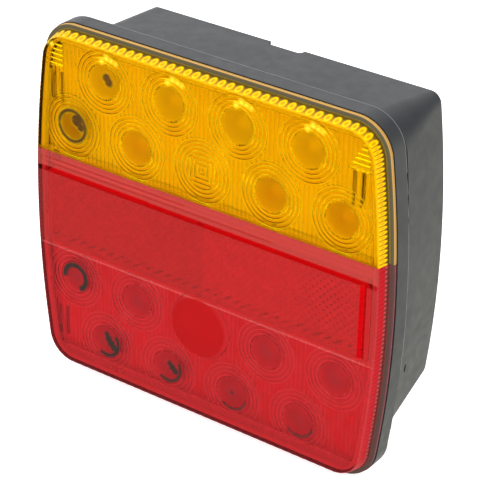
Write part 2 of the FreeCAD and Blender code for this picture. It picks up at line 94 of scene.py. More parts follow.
SIDE_BOW = 4.3
CORNER_R = 10.0
Y_LIP_BACK = Y_RIM_FRONT - 0.2
Y_LIP_FRONT = Y_LIP_BACK - 1.0
Y_INSIDE = Y_FRONT + 1.8
BASE_INSET = 1.4
FRONT_INSET = 2.3
INNER_INSET = 2.7
EDGE_R = 0.45
GUARD = 0.12  # narrow flat margin that keeps the shading of a large flat face flat
POCKET_EDGE = 0.35  # width of the sloping edge of the red face's shallow pocket
POCKET_SINK = 0.6 * POCKET_EDGE
POCKET_R = 1.6
POCKET_MARGIN = 1.1  # how far the pocket reaches past the reflectors at each side
COLUMN_STEP = 0.15  # between points along the outline
GRID_STEP = 0.2  # between points of the patterned inside face
PARTING_GAP = 0.02  # from the parting line to the cut face of each colour
LIP_REAR_R = 0.15
LIP_FRONT_R = 0.2
MARGIN = 1.5  # width of the scattering margin on the inside face, along the outline
LEFT_MARGIN = 2.7  # the same on its left, below the corner ribs
LOW_MARGIN = 4.6  # the same along the red face's lower edge
FRONT_SHIFT = 0.68  # how far right and up a painted shade mark lies on the front face from its place inside
SIDE_FLUTES = (2.55, 1.24)  # pitch above and below, pitch beside
OUTER_DEPTH = 0.10
INNER_DEPTH = (0.40, 0.30)
WINDOW_R = 4.6
WINDOW_RISE = 0.30
RING_PITCH = 1.15
RING_HEIGHT = 0.28
RED_RING_HEIGHT = 0.13
RING_REACH = 9.0
FLUTE_PITCH = 1.3
FLUTE_SHARE = 0.42  # height of the flutes beside the rings'
PRISM_PITCH = (2.1, 1.1)
STUD_R = 2.5
STUD_COLLAR_R = 3.0
STUD_HEAD_H = 3.5
STUD_PITCH = 0.8
STUD_THREAD = 0.45
STUD_SIDES = 60
STUD_HEAD_CHAMFER = 0.4
STUD_TIP_CHAMFER = 0.9
PANEL_STEP = 0.22  # between points of a reflector panel
PANEL_CORNER_R = 2.5
PANEL_FRAME = 1.2
PANEL_GAP = 0.05
RIBS_LEFT = (-50.2, -44.0, 38.6, 46.2)  # level ribs in the amber corners: x from, to, z from, to
RIBS_RIGHT = (42.4, 50.0, 37.4, 45.6)
RIBS_LEAN = (0.55, 0.35)  # how far the ends of the right ones draw in for each millimetre they rise
RIBS_PITCH = 1.3
RIBS_FLOOR = 37.5

# what marks each point of a lens: side wall and its brightness, the wall's inner face, lip, lip's edge,
# pattern, painted shade (the shadows inside the lamps' cups), window
MARKS = ("wall", "glow", "inner", "lip", "edge", "tone", "shade", "frost")

# painted highlights above each lamp of the upper row: across, up, radius
PAINTED_HIGHLIGHTS = ((0.4, 6.3, 1.0), (1.9, 7.4, 1.1), (3.4, 7.0, 0.9), (4.8, 6.6, 0.8), (1.9, 9.6, 0.6))

# heights of the lamps' rows, and the distance between two lamps of a row
AMBER_LOW, AMBER_HIGH = AMBER_BLANK[1], max(z for x, z in AMBER_SPOTS)
RED_LOW, RED_HIGH = min(z for x, z in RED_SPOTS), RED_BLANK[1]
LED_PITCH = max(x for x, z in RED_SPOTS) / 2
# painted shade in the windows, the shadows inside the lamps' cups: x, z, inner and outer radius, direction,
# half angle
PAINTED_SHADE_ARCS = (
    (-2 * LED_PITCH, AMBER_LOW, 3.7, 4.8, 0, 181),
    (-2 * LED_PITCH, RED_HIGH, 2.7, 4.3, 62, 128),
    (-1.5 * LED_PITCH, RED_LOW, 3.4, 4.6, -42, 78),
    (-0.5 * LED_PITCH, RED_LOW, 3.5, 4.5, -48, 78),
    (0.5 * LED_PITCH, RED_LOW, 4.2, 4.9, -72, 58),
    (1.5 * LED_PITCH, RED_LOW, 4.2, 4.9, -72, 58),
)
# the same painted shade as round patches: x, z, radius, strength
PAINTED_SHADE_BLOBS = (
    (-2 * LED_PITCH + 1.6, AMBER_LOW + 1.9, 1.8, 0.9),
    (-2 * LED_PITCH + 2.8, AMBER_LOW + 0.4, 1.3, 0.9),
    (-1.5 * LED_PITCH + 1.2, AMBER_HIGH + 1.4, 1.3, 0.65),
    (-1.5 * LED_PITCH + 1.9, AMBER_HIGH + 0.4, 1.3, 0.65),
    (-1.5 * LED_PITCH + 0.2, RED_LOW + 2.4, 0.9, 0.8),
    (-1.5 * LED_PITCH + 0.8, RED_LOW + 1.2, 1.25, 0.8),
    (-1.5 * LED_PITCH + 1.6, RED_LOW + 0.1, 1.3, 0.8),
    (-1.5 * LED_PITCH + 2.5, RED_LOW - 1.0, 1.3, 0.8),
    (-0.5 * LED_PITCH + 0.7, RED_LOW + 1.3, 0.9, 0.8),
    (-0.5 * LED_PITCH + 1.5, RED_LOW + 0.5, 1.1, 0.8),
    (-0.5 * LED_PITCH + 2.4, RED_LOW - 0.4, 1.1, 0.8),
    (0.5 * LED_PITCH + 0.1, RED_LOW + 0.2, 0.55, 0.8),
    (-LED_PITCH * 2.27, 13.2, 1.6, 0.8),
)

# the same painted shade for the front faces, each round patch written as an arc of a full turn
PAINTED_SHADE_DISCS = [(x, z, -1, radius, 0, 180) for x, z, radius, strength in PAINTED_SHADE_BLOBS]
AMBER_PAINTED_SHADE = [*PAINTED_SHADE_ARCS[:1], *(disc for disc in PAINTED_SHADE_DISCS if disc[1] > PARTING_Z)]
RED_PAINTED_SHADE = [*PAINTED_SHADE_ARCS[1:], *(disc for disc in PAINTED_SHADE_DISCS if disc[1] < REFLEX_LOW)]

# --- mesh helpers -------------------------------------------------------------------------------


def new_object(name, points, faces):
    """A smoothly shaded mesh object from points in millimetres."""
    mesh = bpy.data.meshes.new(name)
    mesh.from_pydata((np.asarray(points, float) * MM).tolist(), [], faces)
    mesh.validate()
    mesh.update()
    mesh.polygons.foreach_set("use_smooth", [True] * len(mesh.polygons))
    thing = bpy.data.objects.new(name, mesh)
    bpy.context.scene.collection.objects.link(thing)
    return thing


def face_outwards(thing):
    work = bmesh.new()
    work.from_mesh(thing.data)
    bmesh.ops.recalc_face_normals(work, faces=work.faces)
    work.to_mesh(thing.data)
    work.free()


def sharpen(thing, degrees):
    """Keeps edges steeper than this crisp while the rest shades smoothly."""
    work = bmesh.new()
    work.from_mesh(thing.data)
    limit = math.radians(degrees)
    for edge in work.edges:
        if len(edge.link_faces) == 2:
            edge.smooth = edge.calc_face_angle(0) < limit
    work.to_mesh(thing.data)
    work.free()


def quads(rows, columns, start=0, closed=False):
    """Faces of a grid of rows by columns points, joined round each row if closed."""
    faces = []
    last = columns if closed else columns - 1
    for r in range(rows - 1):
        a = start + r * columns
        for c in range(last):
            d = (c + 1) % columns
            faces.append((a + c, a + d, a + columns + d, a + columns + c))
    return faces


# --- the lamp's outline -------------------------------------------------------------------------


def quarter():
    """Lengths of the straight, corner and bowed parts of the upper right quarter of the outline."""
    bow = (HALF_H**2 + SIDE_BOW**2) / (2 * SIDE_BOW)
    middle = HALF_W - bow
    drop = HALF_H - CORNER_R
    reach = bow - CORNER_R
    cx = middle + math.sqrt(reach**2 - drop**2)
    meet = math.asin(drop / reach)
    return bow, middle, cx, drop, meet


def outline_at(s):
    """Points and outward normals of the outline at lengths s, clockwise from the top's middle."""
    bow, middle, cx, drop, meet = quarter()
    top = cx
    bend = CORNER_R * (math.pi / 2 - meet)
    side = bow * meet
    reach = top + bend + side
    s = np.mod(np.asarray(s, float), 4 * reach)
    turn = (s // reach).astype(int)
    t = s - turn * reach
    t = np.where(turn % 2 == 1, reach - t, t)
    a = np.pi / 2 - (t - top) / CORNER_R
    b = (reach - t) / bow
    on_top = t < top
    on_bend = (t >= top) & (t < top + bend)
    x = np.where(on_top, t, np.where(on_bend, cx + CORNER_R * np.cos(a), middle + bow * np.cos(b)))
    z = np.where(on_top, HALF_H, np.where(on_bend, drop + CORNER_R * np.sin(a), bow * np.sin(b)))
    nx = np.where(on_top, 0.0, np.where(on_bend, np.cos(a), np.cos(b)))
    nz = np.where(on_top, 1.0, np.where(on_bend, np.sin(a), np.sin(b)))
    sx = np.where(turn >= 2, -1.0, 1.0)
    sz = np.where((turn == 1) | (turn == 2), -1.0, 1.0)
    return x * sx, z * sz, nx * sx, nz * sz, reach


def half_width(z, inset):
    """Half the outline's width at heights z, for the outline moved in by inset."""
    bow, middle, cx, drop, meet = quarter()
    z = np.abs(np.asarray(z, float))
    radius = CORNER_R - inset
    join = (bow - inset) * math.sin(meet)
    wide = middle + np.sqrt(np.maximum((bow - inset) ** 2 - z**2, 0))
    round_part = cx + np.sqrt(np.maximum(radius**2 - np.maximum(z - drop, 0) ** 2, 0))
    return np.where(z <= join, wide, round_part)


# --- lens relief --------------------------------------------------------------------------------


def rib(u, pitch, height):
    """Smooth ribs of a pitch: tall in the middle of each, down to nothing between them."""
    return height * (0.5 + 0.5 * np.cos(2 * np.pi * u / pitch))


def nearest(x, z, spots):
    best = np.full(x.shape, 1e9)
    for sx, sz in spots:
        best = np.minimum(best, np.hypot(x - sx, z - sz))
    return best


def lens_relief(x, z, spots, blank, square, ring_height):
    """Height of the pattern moulded on the inside of a lens face, and its tone from -1 to 1."""

    def rings(r):
        return rib(r - WINDOW_R - RING_PITCH / 2, RING_PITCH, 1.0)

    fine = rib(x, FLUTE_PITCH, 1.0)
    d = nearest(x, z, spots)
    height = np.where(d < RING_REACH, ring_height * rings(d), FLUTE_SHARE * ring_height * fine)
    uneven = 0.55 + 0.45 * np.cos(x * 1.15 + 1.3 * np.sin(z * 0.31)) * np.cos(z * 0.4)
    tone = np.where(d < RING_REACH, 2 * rings(d) - 1, 0.7 * uneven * (2 * fine - 1))
    bx, bz = x - blank[0], z - blank[1]
    r = np.hypot(bx, bz)
    around = (r < RING_REACH) & (r < d)
    height = np.where(around, ring_height * rings(r), height)
    tone = np.where(around, 2 * rings(r) - 1, tone)
    if square:
        box = rib(np.maximum(np.abs(bx), np.abs(bz)), 1.25, 1.0)
        height = np.where(r < WINDOW_R, RING_HEIGHT * box, height)
        tone = np.where(r < WINDOW_R, 2 * box - 1, tone)
    else:
        height = np.where(r < RING_REACH, WINDOW_RISE, height)
        tone = np.where(r < RING_REACH, -0.3, tone)
    height = np.where(d < WINDOW_R, WINDOW_RISE, height)
    return height, np.where(d < WINDOW_R, 0.0, tone)


def amber_relief(x, z):
    """The amber face's pattern, with level ribs stacked in its two upper corners."""
    height, tone = lens_relief(x, z, AMBER_SPOTS, AMBER_BLANK, True, RING_HEIGHT)
    x0, x1, z0, z1 = RIBS_LEFT
    left = (z > z0) & (z < z1) & (x < x1) & (x > x0)
    x0, x1, z0, z1 = RIBS_RIGHT
    rise = z - z0
    right = (z > z0) & (z < z1) & (x > x0 + RIBS_LEAN[0] * rise) & (x < x1 - RIBS_LEAN[1] * rise)
    height = np.where(left | right, rib(z, RIBS_PITCH, 0.5), height)
    tone = np.where(left | right, rib(z, RIBS_PITCH, 3.2) - 0.6, tone)
    d = nearest(x, z, AMBER_SPOTS)
    low_row = -0.45 - 0.45 * np.exp(-((d / 2.2) ** 2))
    high_row = 0.15 - 0.35 * np.exp(-((d / 2.6) ** 2))
    tone = np.where(d < WINDOW_R, np.where(z < (AMBER_LOW + AMBER_HIGH) / 2, low_row, high_row), tone)
    return height, tone


def red_relief(x, z):
    """The red face's pattern, plain in front of the reflectors."""
    height, tone = lens_relief(x, z, RED_SPOTS, RED_BLANK, False, RED_RING_HEIGHT)
    d = nearest(x, z, RED_SPOTS)
    tone = np.where(d < WINDOW_R, -0.25 - 0.6 * np.exp(-((d / 2.4) ** 2)), tone)
    above = z > REFLEX_LOW
    fading = np.clip((20 - x) / 50, 0.15, 0.8)
    lines = np.cos(2 * np.pi * (z - REFLEX_HIGH) / 1.45) * (z > REFLEX_HIGH) * fading
    return np.where(above, 0.0, height), np.where(above, -lines, tone)


# --- lens mouldings -----------------------------------------------------------------------------


def zipper(a, b):
    """Triangles between two runs of (key, index) whose keys rise together."""
    faces = []
    i = j = 0
    while i < len(a) - 1 or j < len(b) - 1:
        if j == len(b) - 1 or (i < len(a) - 1 and a[i + 1][0] <= b[j + 1][0]):
            faces.append((a[i][1], a[i + 1][1], b[j][1]))
            i += 1
        else:
            faces.append((a[i][1], b[j + 1][1], b[j][1]))
            j += 1
    return faces


def round_trip(points, indices, cx, cz):
    """A closed loop as (angle, index) about a point, once round and back to its start."""
    angle = np.arctan2(points[:, 2] - cz, points[:, 0] - cx)
    run = sorted(zip(angle.tolist(), indices))
    return run + [(run[0][0] + 2 * math.pi, run[0][1])]


def flutes(s, ds):
    """Flutes round the side wall: 1 on each crest and 0 between, their phase, and where they are coarse."""
    x, z, nx, nz, reach = outline_at(s)
    level = np.abs(nz) > 0.6
    pitch = np.where(level, SIDE_FLUTES[0], SIDE_FLUTES[1])
    phase = np.cumsum(ds / pitch)
    phase = phase - phase[len(phase) // 2]
    f = phase - np.round(phase)
    return np.sqrt(1.0001 - (2 * f) ** 2), f, level


def amber_teeth(t, f):
    """Brightness of the side wall: a bright oval round each tooth, duller inside, dark behind them."""
    r = np.hypot(2 * f / 0.80, (t - 0.60) / 0.42)
    oval = np.exp(-(((r - 0.68) / 0.22) ** 2)) + 0.38 * np.clip((0.66 - r) / 0.3, 0, 1)
    behind = 0.22 * np.clip((t - 0.30) / 0.2, 0, 1) + 0.26 * np.clip((t - 0.72) / 0.2, 0, 1)
    return np.clip(np.maximum(oval, behind), 0, 1)


def red_teeth(t, f):
    """Brightness of the side wall: pale ticks at the back, plain red, and dark dots at the front."""
    tick = np.exp(-(((t - 0.30) / 0.16) ** 2)) * (0.45 + 0.55 * np.cos(2 * np.pi * f))
    plain = 0.5 * np.clip((t - 0.30) / 0.15, 0, 1)
    dot = np.exp(-(((t - 0.93) / 0.10) ** 2)) * np.clip(-np.cos(2 * np.pi * f), 0, 1)
    return np.clip(np.maximum(tick, plain) - 0.35 * dot, 0, 1)


def blob(x, z, cx, cz, r):
    return np.clip((r + 0.25 - np.hypot(x - cx, z - cz)) / 0.5, 0, 1)


def arc(x, z, cx, cz, r_in, r_out, facing, spread):
    """1 on part of a ring: between two radii, and within spread of a direction."""
    size = np.hypot(x - cx, z - cz)
    turn = np.degrees(np.arctan2(z - cz, x - cx)) - facing
    away = np.abs((turn + 180) % 360 - 180)
    ring = np.clip((size - r_in) / 0.4 + 0.5, 0, 1) * np.clip((r_out - size) / 0.4 + 0.5, 0, 1)
    return ring * np.clip((spread - away) / 14 + 0.5, 0, 1)


def painted_window_shade(x, z):
    """How dark the painted shade in the windows is, 0 to 1: the shadows inside the lamps' cups, painted on
    the lens.
    """
    total = np.zeros(x.shape)
    for row in PAINTED_SHADE_ARCS:
        total = np.maximum(total, arc(x, z, *row))
    for row in PAINTED_SHADE_BLOBS:
        total = np.maximum(total, row[3] * blob(x, z, *row[:3]))
    return total


def rounded_loop(x_from, x_to, z_from, z_to, radius, y):
    """Points of a rectangle with round corners, at depth y."""
    points = []
    for cx, cz, start in (
        (x_to - radius, z_to - radius, 0),
        (x_from + radius, z_to - radius, 90),
        (x_from + radius, z_from + radius, 180),
        (x_to - radius, z_from + radius, 270),
    ):
        for k in range(7):
            a = math.radians(start + 15 * k)
            points.append((cx + radius * math.cos(a), y, cz + radius * math.sin(a)))
    return np.array(points)


class Shell:
    """Rows of points along one colour's stretch of the outline, each point with its marks."""

    def __init__(self, above):
        bow = quarter()[0]
        reach = outline_at([0.0])[4]
        turn = reach - bow * math.asin(PARTING_Z / bow)
        ends = (-turn, turn) if above else (turn, 4 * reach - turn)
        self.above = above
        self.columns = int((ends[1] - ends[0]) / COLUMN_STEP)
        s = np.linspace(*ends, self.columns)
        self.x, self.z, self.nx, self.nz, reach = outline_at(s)
        self.crest, self.phase, self.level = flutes(s, s[1] - s[0])
        self.z_cut = PARTING_Z + (PARTING_GAP if above else -PARTING_GAP)
        self.rows = []
        self.marks = {key: [] for key in MARKS}

    def add(self, inset, y, **given):
        """Adds a row, moved in from the outline by inset and cut off at the parting line."""
        for key in MARKS:
            self.marks[key].append(np.full_like(self.x, 1.0) * given.get(key, 0.0))
        inset = np.full_like(self.x, 1.0) * inset
        z = self.z - self.nz * inset
        z = np.maximum(z, self.z_cut) if self.above else np.minimum(z, self.z_cut)
        z[[0, -1]] = self.z_cut
        self.rows.append(np.stack([self.x - self.nx * inset, np.full_like(self.x, y), z], axis=-1))


def wall_share(y):
    """How far forward a depth lies on the side wall: 0 at the lip, 1 at the front."""
    return (Y_LIP_FRONT - y) / (Y_LIP_FRONT - Y_FRONT)


def wall_inset(y):
    """How far the sloping side wall stands in from the outline at a depth."""
    return BASE_INSET + (FRONT_INSET - BASE_INSET) * wall_share(y)


def outer_rows(shell, teeth):
    """The lip, the fluted side wall, and the rounded edge of the front."""
    flute = (1 - shell.crest) * OUTER_DEPTH
    shell.add(LIP_INSET + LIP_REAR_R, Y_LIP_BACK, edge=1)
    for a in (30, 60, 90):
        r = math.radians(a)
        inset = LIP_INSET + LIP_REAR_R * (1 - math.sin(r))
        shell.add(inset, Y_LIP_BACK - LIP_REAR_R * (1 - math.cos(r)), edge=1)
    shell.add(LIP_INSET, (Y_LIP_BACK + Y_LIP_FRONT) / 2, edge=0.15, lip=1)
    for a in (0, 30, 60, 90):
        r = math.radians(a)
        inset = LIP_INSET + LIP_FRONT_R * (1 - math.cos(r))
        shell.add(inset, Y_LIP_FRONT + LIP_FRONT_R * (1 - math.sin(r)), edge=1 - a / 90, lip=1)
    shell.add(LIP_INSET + 0.3, Y_LIP_FRONT, lip=1)
    shell.add(BASE_INSET - 0.15, Y_LIP_FRONT, lip=1)
    top = Y_FRONT + EDGE_R
    for y in np.linspace(Y_LIP_FRONT - 0.1, top, 14):
        swell = min(1.0, (Y_LIP_FRONT - y) / 0.8) ** 0.5
        inset = wall_inset(y) + flute * swell + 0.45 * (1 - swell)
        shell.add(inset, y, wall=1, glow=teeth(wall_share(y), shell.phase))
    for a in (15, 30, 45, 60, 75, 90):
        r = math.radians(a)
        y = top - EDGE_R * math.sin(r)
        inset = wall_inset(top) + flute * math.cos(r) ** 0.5 + EDGE_R * (1 - math.cos(r))
        shell.add(inset, y, wall=math.cos(r), glow=teeth(wall_share(y), shell.phase))
    shell.add(wall_inset(top) + EDGE_R + GUARD, Y_FRONT)


def inner_rows(shell, teeth):
    """The side wall's inner face, its flutes fading out towards the lip."""
    flute = shell.crest * np.where(shell.level, INNER_DEPTH[0], INNER_DEPTH[1])
    shell.add(INNER_INSET + 0.2, Y_INSIDE, inner=1, wall=0.9)
    shell.add(INNER_INSET + 0.1 + 0.55 * flute, Y_INSIDE + 0.12, inner=1, wall=0.9)
    shares = (0.8, 0.95, 1.0, 1.0, 0.95, 0.8, 0.45, 0.0)
    run = Y_LIP_FRONT - 0.1 - Y_INSIDE - 0.25
    for n, share in enumerate(shares):
        y = Y_INSIDE + 0.25 + run * n / (len(shares) - 1)
        back = wall_share(y)
        glow = teeth(back, shell.phase)
        shell.add(INNER_INSET + share * flute, y, wall=0.9, glow=glow, inner=min(1.0, back / 0.4))
    shell.add(INNER_INSET, Y_LIP_BACK)


def inside_face(shell, relief, spots):
    """The patterned inside face: a grid of points, row by row from the parting line, and its marks."""
    inset = INNER_INSET + 0.3
    far = (HALF_H - inset) * (1 if shell.above else -1)
    zs = np.linspace(shell.z_cut, far, int(abs(far - shell.z_cut) / GRID_STEP) + 1)
    half = half_width(zs, inset)[:, None]
    u = np.linspace(-1, 1, int(2 * HALF_W / GRID_STEP))
    x = half * u[None, :]
    z = np.repeat(zs[:, None], len(u), axis=1)
    height, tone = relief(x, z)
    height[[0, -1], :] = 0
    height[:, [0, -1]] = 0
    margin = np.clip((MARGIN - np.minimum(half - np.abs(x), np.abs(far - z))) / 0.4, 0, 1)
    on_left = 0.8 * (z < RIBS_FLOOR) * np.clip((LEFT_MARGIN - half - x) / 0.8, 0, 1)
    margin = np.maximum(margin, on_left)
    if not shell.above:
        margin = np.maximum(margin, 0.8 * np.clip((LOW_MARGIN + far - z) / 0.8, 0, 1))
    marks = {"tone": tone, "shade": painted_window_shade(x, z), "frost": nearest(x, z, spots) < WINDOW_R}
    marks.update(inner=margin, wall=0.9 * margin)
    return np.stack([x, Y_INSIDE + height, z], axis=-1), marks


def join_inside(shell, points, ring, index):
    """Triangles between the inner wall's first row and the edge of the patterned face."""
    sign = -1 if shell.above else 1
    path = [*index[:, 0], *index[-1, 1:-1], *index[::-1, -1]]
    if not shell.above:
        path = path[::-1]

    def keyed(indices):
        p = points[indices]
        angle = np.arctan2((p[:, 2] - shell.z_cut) * -sign, p[:, 0])
        return [(sign * k, int(i)) for k, i in zip(angle.tolist(), indices)]

    return zipper(keyed(ring), keyed([int(i) for i in path]))


def cut_face(shell, outer, index):
    """The flat face at the parting line, as one polygon."""
    starts = [r * shell.columns for r in range(len(shell.rows))]
    ends = [start + shell.columns - 1 for start in starts]
    base = index[0, ::-1] if shell.above else index[0, :]
    around = [*starts[:outer], *reversed(ends[:outer]), *reversed(ends[outer:]), *base, *starts[outer:]]
    return tuple(int(i) for i in around)


def front_face(points, front, pocket):
    """The front face, and the points of its shallow pocket if there is one."""
    if pocket is None:
        return points, [tuple(front)]
    x0, x1, z0, z1 = pocket
    steps = ((-GUARD, 0), (0, 0), (POCKET_EDGE, POCKET_SINK), (POCKET_EDGE + GUARD, POCKET_SINK))
    loops = [
        rounded_loop(x0 + d, x1 - d, z0 + d, z1 - d, POCKET_R - d, Y_FRONT + sink)
        for d, sink in steps
    ]
    n = len(points)
    m = len(loops[0])
    points = np.concatenate([points] + loops)
    middle = (z0 + z1) / 2
    outer_run = round_trip(points[front], front, 0, middle)
    inner_run = round_trip(points[n:n + m], list(range(n, n + m)), 0, middle)
    faces = zipper(outer_run, inner_run)
    faces += quads(len(loops), m, n, closed=True)
    last = n + m * (len(loops) - 1)
    faces.append(tuple(range(last, last + m)))
    return points, faces


def lens_mesh(name, above, relief, teeth, spots, pocket=None):
    """One colour of the lens as a closed shell: lip, fluted side wall, front and patterned inside."""
    shell = Shell(above)
    outer_rows(shell, teeth)
    outer = len(shell.rows)
    inner_rows(shell, teeth)
    columns = shell.columns
    first_inner = outer * columns
    last = (len(shell.rows) - 1) * columns
    faces = quads(outer, columns)
    faces += quads(len(shell.rows) - outer, columns, first_inner)
    faces += [(last + c, last + c + 1, c + 1, c) for c in range(columns - 1)]

    grid, grid_marks = inside_face(shell, relief, spots)
    rows, across = grid.shape[:2]
    first = last + columns
    faces += quads(rows, across, first)
    points = np.concatenate(shell.rows + [grid.reshape(-1, 3)])
    index = np.arange(rows * across).reshape(rows, across) + first
    faces += join_inside(shell, points, list(range(first_inner, first_inner + columns)), index)
    faces.append(cut_face(shell, outer, index))
    points, front_faces = front_face(points, list(range(first_inner - columns, first_inner)), pocket)
    faces += front_faces

    thing = new_object(name, points, faces)
    face_outwards(thing)
    sharpen(thing, 48)
    for key in MARKS:
        values = np.zeros(len(points), np.float32)
        marked = np.concatenate([*shell.marks[key], np.ravel(grid_marks.get(key, np.zeros(rows * across)))])
        values[:len(marked)] = marked
        thing.data.attributes.new(key, "FLOAT", "POINT").data.foreach_set("value", values)
    return thing


amber = lens_mesh("lens_amber_moulding", True, amber_relief, amber_teeth, AMBER_SPOTS)
pocket_side = REFLEX_SIDE + POCKET_MARGIN
pocket = (-pocket_side, pocket_side, REFLEX_LOW, PARTING_Z - 1.0)
red = lens_mesh("lens_red_moulding", False, red_relief, red_teeth, RED_SPOTS, pocket)

# --- reflex reflectors --------------------------------------------------------------------------


def prism_panel(node):
    """A reflector panel: plain rounded frame round a field of small prisms."""
    out_left = span(node, 0)[0] < -1
    x0, x1 = (PANEL_GAP - REFLEX_SIDE, -PANEL_GAP) if out_left else (PANEL_GAP, REFLEX_SIDE - PANEL_GAP)
    y0, y1 = span(node, 1)
    z0, z1 = REFLEX_LOW + PANEL_GAP, REFLEX_HIGH - PANEL_GAP
    columns, rows = int((x1 - x0) / PANEL_STEP) + 1, int((z1 - z0) / PANEL_STEP) + 1
    gx, gz = np.meshgrid(np.linspace(x0, x1, columns), np.linspace(z0, z1, rows))
    # round corners at the outer end only
    r = PANEL_CORNER_R
    cx = np.clip(gx, x0 + r, x1) if out_left else np.clip(gx, x0, x1 - r)
    cz = np.clip(gz, z0 + r, z1 - r)
    cz = np.where(gx == cx, gz, cz)
    off = np.hypot(gx - cx, gz - cz)
    pull = np.where(off > r, r / np.maximum(off, 1e-6), 1.0)
    gx, gz = cx + (gx - cx) * pull, cz + (gz - cz) * pull
    side = gx - x0 if out_left else x1 - gx
    edge = np.minimum(np.minimum(side, gz - z0 + 0.7), z1 - gz)
    edge = np.where(off > 0, np.minimum(edge, r - np.minimum(off, r)), edge)

    def lattice(sx, sz):
        ax = gx / PRISM_PITCH[0] + sx
        az = gz / PRISM_PITCH[1] / 2 + sz
        return np.hypot((ax - np.round(ax)) * PRISM_PITCH[0], (az - np.round(az)) * PRISM_PITCH[1] * 2)

    d = np.minimum(lattice(0, 0), lattice(0.5, 0.5))
    inside = edge > PANEL_FRAME
    low = np.where(inside, 0.25 + 0.45 * np.minimum(d / 1.05, 1.0), 0.0)
    top = np.stack([gx, y0 + low, gz], axis=-1).reshape(-1, 3)
    index = np.arange(columns * rows).reshape(rows, columns)
    faces = quads(rows, columns)
    rim = [*index[0, :], *index[1:, -1], *index[-1, -2::-1], *index[-2:0:-1, 0]]
    n = len(top)
    back_ring = top[rim].copy()
    back_ring[:, 1] = y1
    m = len(rim)
    for k in range(m):
        j = (k + 1) % m
        faces.append((int(rim[k]), int(rim[j]), n + j, n + k))
    faces.append(tuple(n + k for k in range(m)))
    thing = new_object(node + "_prisms", np.concatenate([top, back_ring]), faces)
    face_outwards(thing)
    sharpen(thing, 35)
    tone = thing.data.attributes.new("tone", "FLOAT", "POINT")
    values = np.ones(n + m, np.float32)
    # the tips show as dots, clearest towards the right; dashes mark the field's lower edge
    clear_dots = 0.16 + 0.62 * np.exp(-(((gx - 38) / 7) ** 2) - ((gz + 1) / 8) ** 2)
    dots = np.clip((0.45 - d) / 0.25, 0, 1) * inside * clear_dots
    lean = (gx - 1.6 * (gz - z0)) / 3.1
    dash = np.clip(np.cos(2 * np.pi * lean) * 1.6, 0, 1)
    waver = 0.35 * np.sin(gx * 0.9) + 0.25 * np.sin(gx * 2.3)
    dash = dash * np.exp(-(((gz - z0 - 2.7 - waver) / 0.85) ** 2)) * (0.56 + 0.15 * np.sin(gx * 1.7))
    values[:n] = (1 - np.maximum(dots, dash)).reshape(-1) * (0.78 if out_left else 0.95)
    rim_part = (~inside) & (np.abs(gx) > 1.5)
    values[:n] = np.where(rim_part.reshape(-1), 2.0, values[:n])
    values[n:] = 2.0
    tone.data.foreach_set("value", values)
    return thing


reflex_left = prism_panel("reflex_reflector_left")
reflex_right = prism_panel("reflex_reflector_right")

# --- mounting studs -----------------------------------------------------------------------------


def stud_mesh(node):
    """A headed stud: hexagon, plain collar, and a rolled thread with a chamfered tip."""
    cx, cz = centre(node)
    y_head, y_tip = span(node, 1)
    across = min(span(node, 0)[1] - cx, span(node, 2)[1] - cz)
    turn = np.linspace(0, 2 * np.pi, STUD_SIDES, endpoint=False)
    sixth = np.pi / 3
    hexagon = across / np.cos((turn + sixth / 2) % sixth - sixth / 2)
    rows = [(y_head, hexagon - STUD_HEAD_CHAMFER), (y_head + STUD_HEAD_CHAMFER, hexagon)]
    rows.append((y_head + STUD_HEAD_H, hexagon))
    rows += [(y_head + STUD_HEAD_H, 0 * turn + STUD_COLLAR_R), (0.0, 0 * turn + STUD_COLLAR_R)]
    for y in np.arange(0.0, y_tip, STUD_PITCH / 8):
        f = (y / STUD_PITCH - turn / (2 * np.pi)) % 1.0
        thread = STUD_R - STUD_THREAD * np.clip(1.25 - np.abs(f - 0.5) * 3.2, 0, 1)
        lead = min(1.0, y / STUD_PITCH)
        limit = STUD_R - np.clip(y - (y_tip - STUD_TIP_CHAMFER), 0, None)
        rows.append((y, np.minimum(thread * lead + (STUD_R - STUD_THREAD) * (1 - lead), limit)))
    rows.append((y_tip, 0 * turn + STUD_R - STUD_TIP_CHAMFER))
    points = []
    for y, radii in rows:
        points += [(cx + r * math.cos(a), y, cz + r * math.sin(a)) for r, a in zip(radii, turn)]
    faces = quads(len(rows), STUD_SIDES, closed=True)
    faces.append(tuple(range(STUD_SIDES)))
    last = (len(rows) - 1) * STUD_SIDES
    faces.append(tuple(range(last, last + STUD_SIDES)))
    thing = new_object(node + "_threaded", points, faces)
    face_outwards(thing)
    sharpen(thing, 40)
    return thing


stud_left = stud_mesh("mounting_stud_left")
stud_right = stud_mesh("mounting_stud_right")

# --- materials ----------------------------------------------------------------------------------

PAINTED_SHADE_SOFT = 0.35  # half the width of a painted shade mark's soft edge on the front face, in millimetres
MARK_SCATTER = 0.5  # how far painted shade marks and painted highlights scatter light instead of letting it through
WALL_SCATTER = 0.92  # the same for the side wall, lip and edge
DULLNESS = 0.35  # roughness added on the side wall, the lip and the windows


